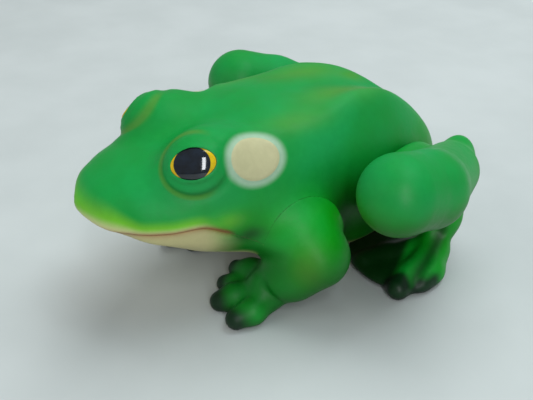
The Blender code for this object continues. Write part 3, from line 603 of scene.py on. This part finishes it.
def belly_shell(case, outer):
    """The case below the parting, with its posts, the clockwork's and the key bushing's boss."""
    posts = [("UNION", upright(at, *reach, CASE_POST)) for at, _, _, reach in CASE_SCREWS]
    motor_posts = [upright(at, 0, PLATE_UNDERSIDE - FIT, MOTOR_POST) for at in PILLARS]
    screws = [(at, seat) for at, seat, *_ in CASE_SCREWS] + [(at, MOTOR_SEAT) for at in PILLARS]
    return combined(case, *posts, ("INTERSECT", under_parting(-HAIRLINE / 2)),
                    *(("UNION", combined(post, ("INTERSECT", outer))) for post in motor_posts),
                    ("UNION", upright(KEY_AT, KEY_SEAT, KEY_BOSS_TOP, KEY_BOSS)),
                    ("DIFFERENCE", upright(KEY_AT, *KEY_BORE_REACH, KEY_BORE)),
                    ("DIFFERENCE", upright(KEY_AT, 0, KEY_SEAT, KEY_FLANGE)),
                    *(cut for screw in screws for cut in screw_hole(*screw)))


def skin_meshes():
    """The mesh of each outside piece, by the name of the CAD node that it replaces."""
    grid = Window((0, AHEAD - MARGIN, UNDER), (WIDTH, BEHIND + MARGIN, HEIGHT), STEP)
    bare, arm = torso(grid), front_leg(grid)
    carved = head(grid, bare)
    skin = np.maximum(melt(carved, arm, SHOULDER_MELT), -grid.z)
    outer = solid(*both_halves(skin, grid))
    torso_skin, torso_room = (solid(*both_halves(bare, grid), gap) for gap in (0, SEAM))
    floor = -grid.z - STEP
    rim, rim_room = (solid(np.maximum(arm - SHOULDER_RIM - gap, floor), grid) for gap in (0, SEAM))
    shoulder = combined(rim_room, ("DIFFERENCE", torso_skin))
    case = hollow_case(outer, inner_room(bare, carved, grid), shoulder)
    meshes = {"back_shell": back_shell(case), "belly_shell": belly_shell(case, outer)}
    for name, left in (("front_leg", front_leg_piece(outer, rim, torso_room)),
                       ("hind_leg", hind_leg_piece(skin, grid)), ("eye", eye_solid())):
        meshes[f"{name}_left"], meshes[f"{name}_right"] = left, mirrored_mesh(left)
    return meshes


# ---------------------------------------------------------------- paint


def linear(red, green, blue):
    """A linear colour from display values out of 255."""
    return np.array([(c / 255) ** 2.2 for c in (red, green, blue)], np.float32)


GREEN = linear(18, 142, 64)
SHADE_GREEN = linear(4, 92, 18)
LEAF_GREEN = linear(18, 148, 34)
DARK_SHADE_GREEN = linear(4, 40, 12)
BLACK_GREEN = linear(3, 22, 10)
LIME = linear(120, 190, 40)
CREAM = linear(206, 196, 150)
# Cream darkened as painted shade, for the throat and the underside.
SHADED_THROAT_CREAM = linear(176, 168, 122)
EAR_CREAM = linear(188, 184, 142)
MOUTH_PINK = linear(150, 92, 60)
OLIVE = linear(98, 134, 32)
HALO = linear(170, 196, 172)
INK = linear(18, 26, 24)
EYE_YELLOWS = linear(218, 186, 8), linear(200, 162, 8)
EYE_BLACKS = linear(12, 16, 22), linear(24, 34, 46)

# Airbrushed puffs and painted shade: centre and radii. The armpit's is painted shade, and the
# flank's is darker paint with painted shade.
KNEE_PUFF = (52, 8, 46), (9, 8, 10)
ELBOW_PUFF = (45, -14, 26), (7, 5, 8)
ARMPIT_SHADE = (32, -30, 38), (8, 6, 3.2)
CHEEK_PUFF = (31.5, -38, 45), (7, 5, 3)
FLANK_SPRAY_AND_SHADE = ((36, 6, 36), (8, 9, 16)), ((32, 30, 30), (9, 22, 14))
BACK_PUFFS = ((12, 20, 71), (7, 16, 3)), ((8, 40, 67), (4, 9, 3)), ((20, -4, 68), (5, 12, 3))


def puff(points, centre, radii):
    """Airbrush spray: 1 at a centre, fading to nothing at about twice the radii."""
    return np.exp(-np.sum(((points - np.array(centre)) / np.array(radii)) ** 2, 1))


def over(paint, colour, amount):
    """The paint with that amount of a colour laid over it."""
    amount = np.clip(amount, 0, 1)[:, None]
    return paint * (1 - amount) + colour * amount


def painted_shoulder_shade(paint, y, z):
    """Painted shade: the deeper green low on the shoulder, under the jaw, which runs across the
    joint.
    """
    return over(paint, SHADE_GREEN, ramp(z, 36, 22) * ramp(y, -34, -20) * 0.7)


def hind_paint(paint, points):
    x, y, z = points.T
    paint = over(paint, OLIVE, puff(points, *KNEE_PUFF) * 0.35)
    # Dark paint on the inner web, with painted shade where it lies under the thigh and belly.
    paint = over(paint, BLACK_GREEN, ramp(x + 0.7 * y, 67.6, 63.6) * ramp(z, 34, 24) * 0.92)
    # Painted shade in the furrow between the foot's ribs.
    groove_shade = bell((x - 49.9) + 0.48 * (y - 39), 0, 2.6) * ramp(z, 26, 18)
    paint = over(paint, DARK_SHADE_GREEN, groove_shade * 0.75)
    outer_toe = ramp(x + 0.25 * y, 61.3, 63) * ramp(z, 8.5, 5.8) * ramp(y, 45, 39)
    middle_toe = ramp(np.hypot(x - 51.8, y - 23.5), 7.2, 3.6) * ramp(z, 12, 8)
    return over(paint, INK, np.maximum(outer_toe, middle_toe) * 0.92)


def front_paint(paint, points):
    x, y, z = points.T
    paint = painted_shoulder_shade(paint, y, z)
    paint = over(paint, OLIVE, puff(points, *ELBOW_PUFF) * 0.4)
    # Painted shade: the arm grows darker low down and on its inner side.
    paint = over(paint, SHADE_GREEN, ramp(z, 32, 12) * ramp(x, 46, 37) * 0.75)
    # Painted shade in the armpit.
    paint = over(paint, DARK_SHADE_GREEN, puff(points, *ARMPIT_SHADE) * 0.8)
    from_palm = np.hypot(x - 31, y + 20)
    return over(paint, INK, ramp(from_palm, 15.5, 20.5) * ramp(z, 14, 9) * 0.9)


def case_paint(paint, points, normals):
    y, z = points[:, 1], points[:, 2]
    above = z - mouth_level(y)
    front = ramp(y, MOUTH_END - 2, MOUTH_END - 14)
    paint = painted_shoulder_shade(paint, y, z)
    # Darker airbrush on the flank, with painted shade in the hollow between arm and thigh.
    paint = over(paint, DARK_SHADE_GREEN, sum(puff(points, *flank) for flank in FLANK_SPRAY_AND_SHADE) * 0.75)
    tall = 1 + 0.8 * ramp(y, -64, -74)
    paint = over(paint, LIME, ramp(above, 6.5 * tall, 2.5 * tall) * front * 0.85)
    paint = over(paint, CREAM, ramp(above, 3.4 * tall, 0.8 * tall) * front * 0.85)
    # The throat and the belly's underside are cream, darkened as painted shade.
    throat = ramp(-above, 0.2, 1.2) * ramp(y, -31, -48)
    under = ramp(normals[:, 2], -0.55, -0.85) * ramp(z, 44, 40)
    paint = over(paint, SHADED_THROAT_CREAM, np.maximum(throat, under))
    paint = over(paint, LIME, puff(points, *CHEEK_PUFF) * 0.45)
    line = bell(above, 0.3, 1.2) * ramp(y, MOUTH_END + 2, MOUTH_END - 2)
    paint = over(paint, MOUTH_PINK, line * 0.85)
    # Painted shade in the armpit.
    paint = over(paint, DARK_SHADE_GREEN, puff(points, *ARMPIT_SHADE) * 0.8)
    for back in BACK_PUFFS:
        paint = over(paint, OLIVE, puff(points, *back) * 0.45)
    return paint


def skin_paint(points, normals, limb):
    """Colour of each point of the skin, in mm, with the right side folded on to the left."""
    points = points.copy()
    points[:, 0] = np.abs(points[:, 0])
    paint = np.tile(GREEN, (len(points), 1))
    # A leaf green low down. The bluer green left on top is partly the paint's own tone and partly
    # painted sky sheen.
    paint = over(paint, LEAF_GREEN, ramp(points[:, 2], 58, 38) * 0.85)
    # Painted shade: faces that turn downwards become a deeper green.
    paint = over(paint, SHADE_GREEN, ramp(normals[:, 2], 0.25, -0.6) * 0.85)
    if limb == "hind":
        return hind_paint(paint, points)
    if limb == "front":
        return front_paint(paint, points)
    return case_paint(paint, points, normals)


class Nodes:
    """Short names for building one material's node tree."""

    def __init__(self, name):
        self.material = bpy.data.materials.new(name)
        self.material.use_nodes = True
        self.tree = self.material.node_tree
        self.shader = self.tree.nodes["Principled BSDF"]
        self.place = self.tree.nodes.new("ShaderNodeTexCoord").outputs["Object"]

    def feed(self, socket, value):
        if isinstance(value, bpy.types.NodeSocket):
            self.tree.links.new(value, socket)
        else:
            socket.default_value = value

    def shade(self, **inputs):
        for name, value in inputs.items():
            self.feed(self.shader.inputs[name.replace("_", " ")], value)

    def math(self, operation, *values):
        node = self.tree.nodes.new("ShaderNodeMath")
        node.operation = operation
        for socket, value in zip(node.inputs, values):
            self.feed(socket, value)
        return node.outputs[0]

    def vector(self, operation, *values):
        node = self.tree.nodes.new("ShaderNodeVectorMath")
        node.operation = operation
        for socket, value in zip(node.inputs, values):
            self.feed(socket, value)
        return node.outputs["Value" if operation == "DOT_PRODUCT" else "Vector"]

    def noise(self, size, detail, roughness=0.5, stretch=(1, 1, 1)):
        """Noise from 0 to 1 with features of about that size in millimetres."""
        node = self.tree.nodes.new("ShaderNodeTexNoise")
        self.feed(node.inputs["Vector"], self.vector("MULTIPLY", self.place, stretch))
        node.inputs["Scale"].default_value = 1000 / size
        node.inputs["Detail"].default_value = detail
        node.inputs["Roughness"].default_value = roughness
        return node.outputs["Fac"]

    def span(self, value, start, end, low=0.0, high=1.0):
        node = self.tree.nodes.new("ShaderNodeMapRange")
        node.interpolation_type = "SMOOTHSTEP"
        for socket, part in zip(node.inputs, (value, start, end, low, high)):
            self.feed(socket, part)
        return node.outputs["Result"]

    def mix(self, amount, first, second):
        node = self.tree.nodes.new("ShaderNodeMix")
        node.data_type = "RGBA"
        self.feed(node.inputs[0], amount)
        for socket, value in zip(node.inputs[6:8], (first, second)):
            self.feed(socket, value if isinstance(value, bpy.types.NodeSocket) else (*value, 1))
        return node.outputs[2]

    def attribute(self, name):
        node = self.tree.nodes.new("ShaderNodeAttribute")
        node.attribute_name = name
        return node.outputs["Color"]

    def bump(self, height, depth):
        """Feeds the shader a normal roughened by height, which is worth depth millimetres."""
        node = self.tree.nodes.new("ShaderNodeBump")
        node.inputs["Strength"].default_value = 1.0
        node.inputs["Distance"].default_value = depth * MM
        self.feed(node.inputs["Height"], height)
        self.tree.links.new(node.outputs["Normal"], self.shader.inputs["Normal"])


def disc_place(nodes, origin, facing, roll, side):
    """How far a point is along and across a disc on the skin, in millimetres."""
    along, across, _ = disc_axes(facing, roll)
    middle = (origin[0] * side * MM, origin[1] * MM, origin[2] * MM)
    offset = nodes.vector("SUBTRACT", nodes.place, middle)
    scaled = [[axis.x * side / MM, axis.y / MM, axis.z / MM] for axis in (along, across)]
    return [nodes.vector("DOT_PRODUCT", offset, axis) for axis in scaled]


def ellipse(nodes, u, v, long, high):
    """1 on the ellipse with those half axes, 0 at its middle."""
    shares = [nodes.math("DIVIDE", nodes.math("ABSOLUTE", value), size)
              for value, size in ((u, long), (v, high))]
    squares = [nodes.math("POWER", share, 2.0) for share in shares]
    return nodes.math("SQRT", nodes.math("ADD", *squares))


def head_marks(nodes, colour):
    """Both ear discs with their pale halos, and the olive shade in the fold round each eye."""
    for side in (1, -1):
        u, v = disc_place(nodes, EAR, EAR_OUT, 0, side)
        away = ellipse(nodes, u, v, EAR_LONG, EAR_HIGH)
        outward = nodes.vector("DOT_PRODUCT", nodes.place, (side / MM, 0, 0))
        here = nodes.span(outward, 8, 12)
        halo = nodes.math("MULTIPLY", nodes.span(away, 1.42, 1.08), here)
        disc = nodes.math("MULTIPLY", nodes.span(away, 1.02, 0.97), here)
        colour = nodes.mix(nodes.math("MULTIPLY", halo, 0.8), colour, HALO)
        u, v = disc_place(nodes, EYE, EYE_LOOK, EYE_ROLL, side)
        fold = nodes.math("SUBTRACT", ellipse(nodes, u, v, FOLD_LONG, FOLD_HIGH), 1.02)
        ring = nodes.span(nodes.math("ABSOLUTE", fold), 0.12, 0.02)
        ring = nodes.math("MULTIPLY", ring, here)
        ring = nodes.math("MULTIPLY", ring, nodes.span(u, 8, 0, 0.0, 0.4))
        colour = nodes.mix(ring, colour, OLIVE)
        colour = nodes.mix(disc, colour, EAR_CREAM)
    return colour


def skin_material(name, marked=False):
    """Satin vinyl in the mesh's stored paint, painted shade and sheen included, clouded and finely
    grained.
    """
    nodes = Nodes(name)
    cloud, speck, grain = nodes.noise(24, 2), nodes.noise(2.2, 3), nodes.noise(0.5, 2)
    colour = nodes.attribute("paint")
    if marked:
        colour = head_marks(nodes, colour)
    shade = nodes.math("ADD", nodes.span(cloud, 0.3, 0.7, 0.93, 1.05),
                       nodes.span(speck, 0.3, 0.8, -0.03, 0.03))
    tone = nodes.tree.nodes.new("ShaderNodeHueSaturation")
    nodes.feed(tone.inputs["Color"], colour)
    nodes.feed(tone.inputs["Value"], shade)
    nodes.feed(tone.inputs["Hue"], nodes.span(cloud, 0.2, 0.8, 0.492, 0.508))
    roughness = nodes.math("ADD", nodes.span(speck, 0.3, 0.75, 0.42, 0.5),
                           nodes.span(cloud, 0.3, 0.7, -0.04, 0.04))
    nodes.shade(Base_Color=tone.outputs[0], Roughness=roughness, Specular_IOR_Level=0.3)
    nodes.bump(nodes.math("ADD", nodes.math("MULTIPLY", grain, 0.35), speck), 0.05)
    return nodes.material


def eye_material(side):
    """Glossy enamel: a yellow iris round a large black pupil."""
    nodes = Nodes(f"eye_enamel_{'left' if side > 0 else 'right'}")
    u, v = disc_place(nodes, EYE, EYE_LOOK, EYE_ROLL, side)
    pupil = ellipse(nodes, nodes.math("SUBTRACT", u, PUPIL_SHIFT), v, PUPIL_LONG, PUPIL_HIGH)
    cloud = nodes.noise(3, 3)
    yellow = nodes.mix(nodes.span(cloud, 0.3, 0.7), *EYE_YELLOWS)
    black = nodes.mix(nodes.span(cloud, 0.2, 0.8), *EYE_BLACKS)
    colour = nodes.mix(nodes.span(pupil, 1.0, 0.96), yellow, black)
    nodes.shade(Base_Color=colour, Roughness=nodes.span(nodes.noise(1.5, 2), 0.3, 0.7, 0.05, 0.1),
                Coat_Weight=0.5, Coat_Roughness=0.04)
    nodes.bump(nodes.noise(5, 2), 0.05)
    return nodes.material


# Each metal's colour and stain, its roughness, and how its tool lines are squeezed and how fine.
METALS = {
    "worn_brass": (linear(214, 172, 96), linear(120, 82, 40), 0.26, (1, 1, 6), 0.3),
    "turned_steel": (linear(190, 192, 196), linear(104, 92, 80), 0.28, (1, 1, 9), 0.3),
    "tinned_plate": (linear(202, 200, 190), linear(140, 132, 112), 0.32, (7, 1, 1), 0.5),
    "blued_spring": (linear(52, 62, 96), linear(70, 52, 44), 0.22, (1, 1, 8), 0.2),
}
# The metal of each CAD slot. Every other slot is steel.
SLOT_METALS = {"brass": "worn_brass", "tinplate": "tinned_plate",
               "blued_spring_steel": "blued_spring"}


def metal_material(name, colour, stain, roughness, stretch, line):
    """Worked metal: fine tool lines, a clouded tarnish and rubbed patches."""
    nodes = Nodes(name)
    lines = nodes.noise(line, 2, 0.6, stretch)
    cloud = nodes.noise(5, 4, 0.6)
    tarnish = nodes.span(cloud, 0.42, 0.7)
    base = nodes.mix(nodes.math("MULTIPLY", tarnish, 0.55), colour, stain)
    base = nodes.mix(nodes.span(lines, 0.3, 0.7, 0.0, 0.18), base, (0.02, 0.02, 0.02))
    rough = nodes.math("ADD", nodes.span(lines, 0.3, 0.7, roughness, roughness + 0.12),
                       nodes.math("MULTIPLY", tarnish, 0.16))
    nodes.shade(Base_Color=base, Metallic=nodes.span(tarnish, 0, 1, 1.0, 0.85), Roughness=rough)
    nodes.bump(lines, 0.01)
    return nodes.material


# ---------------------------------------------------------------- pieces on their bodies


def show(name, mesh, look):
    """Puts a skin's mesh in place of the CAD node of that name."""
    mesh.materials.clear()
    mesh.materials.append(look)
    mesh.shade_smooth()
    mesh.set_sharp_from_angle(angle=math.radians(40))
    piece = bpy.data.objects.new(f"{name}_skin", mesh)
    bpy.context.scene.collection.objects.link(piece)
    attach(piece, "hind_legs" if name.startswith("hind") else "root")
    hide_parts(name)


def paint_mesh(mesh, limb):
    """Stores the airbrushed colour, with its painted shade and sheen, on the mesh's points."""
    points, normals = (np.zeros(len(mesh.vertices) * 3, np.float32) for _ in range(2))
    mesh.vertices.foreach_get("co", points)
    mesh.vertices.foreach_get("normal", normals)
    colours = skin_paint(points.reshape(-1, 3) / MM, normals.reshape(-1, 3), limb)
    colours = np.c_[colours, np.ones(len(colours))].astype(np.float32)
    layer = mesh.attributes.new("paint", "FLOAT_COLOR", "POINT")
    layer.data.foreach_set("color", colours.ravel())


def dress_skin():
    plain, marked = skin_material("airbrushed_vinyl"), skin_material("airbrushed_vinyl_ears", True)
    for name, mesh in skin_meshes().items():
        if name.startswith("eye"):
            show(name, mesh, eye_material(1 if name.endswith("left") else -1))
            continue
        paint_mesh(mesh, name.split("_")[0])
        show(name, mesh, marked if name == "back_shell" else plain)


def dress_clockwork():
    """Gives the CAD's own pieces their worn metals."""
    metals = {name: metal_material(name, *look) for name, look in METALS.items()}
    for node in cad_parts.values():
        for place in node.material_slots:
            slot = place.material.name.split(".")[0]
            place.material = metals[SLOT_METALS.get(slot, "turned_steel")]


# ---------------------------------------------------------------- studio

# Each light's name, place, target, size, power and colour, and whether reflections show it.
LIGHTS = [
    ("sky_panel", (-0.25, 0.45, 1.0), (0, 0, 0), (1.1, 0.9), 11, (0.93, 0.98, 1.0), False),
    ("sheen_panel", (0.25, 0.25, 1.1), (0, 0, 0), (0.5, 0.5), 1.6, (0.7, 0.9, 1.0), True),
    ("right_strip", (0.7, -0.25, 0.5), (0, 0, 0.03), (0.09, 0.75), 3.0, (0.95, 0.98, 1.0), True),
    ("front_fill", (-0.1, -1.0, 0.7), (0, 0, 0.03), (0.9, 0.9), 3.0, (1.0, 0.99, 0.96), False),
]
FLOOR_REACH = 9  # metres
FLOOR_COLOURS = (0.5, 0.53, 0.52), (0.54, 0.57, 0.56)


def area_light(name, at, target, size, power, colour, reflected):
    data = bpy.data.lights.new(name, "AREA")
    data.shape, data.size, data.size_y = "RECTANGLE", *size
    data.energy, data.color = power, colour
    light = bpy.data.objects.new(name, data)
    light.location = at
    light.rotation_euler = (Vector(target) - Vector(at)).to_track_quat("-Z", "Y").to_euler()
    light.visible_glossy = reflected
    bpy.context.scene.collection.objects.link(light)


def pale_floor():
    nodes = Nodes("pale_floor")
    mottle = nodes.noise(60, 3)
    nodes.shade(Base_Color=nodes.mix(nodes.span(mottle, 0.3, 0.7), *FLOOR_COLOURS),
                Roughness=nodes.span(nodes.noise(2, 2), 0.3, 0.7, 0.62, 0.7))
    a, b = -FLOOR_REACH, FLOOR_REACH
    corners = [(a, a, 0), (b, a, 0), (b, b, 0), (a, b, 0)]
    mesh = bpy.data.meshes.new("floor")
    mesh.from_pydata(corners, [], [(0, 1, 2, 3)])
    mesh.materials.append(nodes.material)
    floor = bpy.data.objects.new("floor", mesh)
    bpy.context.scene.collection.objects.link(floor)


def studio():
    bpy.context.scene.view_settings.view_transform = "Standard"
    pale_floor()
    for light in LIGHTS:
        area_light(*light)
    world = bpy.data.worlds.new("studio")
    world.use_nodes = True
    background = world.node_tree.nodes["Background"]
    background.inputs["Color"].default_value = (0.75, 0.8, 0.82, 1)
    background.inputs["Strength"].default_value = 0.34
    bpy.context.scene.world = world


def camera():
    turn, rise, distance = math.radians(60), math.radians(32), 0.285
    target = Vector((0, -0.004, 0.025))
    back = Vector((math.sin(turn) * math.cos(rise), -math.cos(turn) * math.cos(rise),
                   math.sin(rise)))
    data = bpy.data.cameras.new("camera")
    data.sensor_width, data.lens, data.clip_start = 36, 47.28, 0.01
    view = bpy.data.objects.new("camera", data)
    view.location = target + back * distance
    view.rotation_euler = back.to_track_quat("Z", "Y").to_euler()
    bpy.context.scene.collection.objects.link(view)
    bpy.context.scene.camera = view


dress_skin()
dress_clockwork()
studio()
camera()
